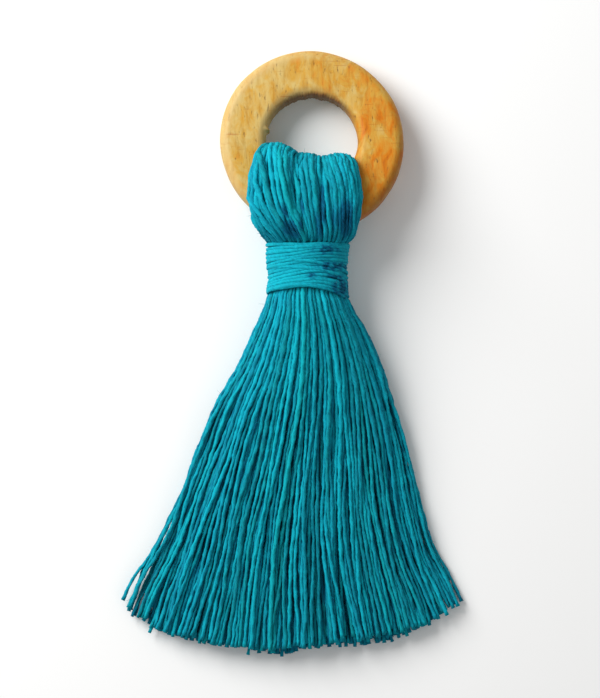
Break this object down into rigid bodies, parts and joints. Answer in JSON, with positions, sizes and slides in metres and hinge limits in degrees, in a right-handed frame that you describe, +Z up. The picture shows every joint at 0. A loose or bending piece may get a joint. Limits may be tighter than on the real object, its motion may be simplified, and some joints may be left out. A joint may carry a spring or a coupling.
{
  "type": "tassel",
  "caption": "Teal cotton yarn tassel lying on its back, folded through a flat wooden ring and bound at the neck.",
  "frame": {"origin": "under the middle of the outline, on the surface that the tassel lies on", "axes": "+Y from the cut ends towards the ring, +X to the right seen from the front, +Z up out of the surface, which is the front"},
  "size_m": [0.0752, 0.1315, 0.0185],
  "materials": {
    "wood_ring": "sanded and lightly waxed",
    "cotton_yarn": "matt cotton yarn",
    "binding_yarn": "matt fine cotton yarn"
  },
  "bodies": {
    "root": {"ring": "wood_ring", "hank": "cotton_yarn", "neck_wrap": "binding_yarn"}
  },
  "joints": []
}
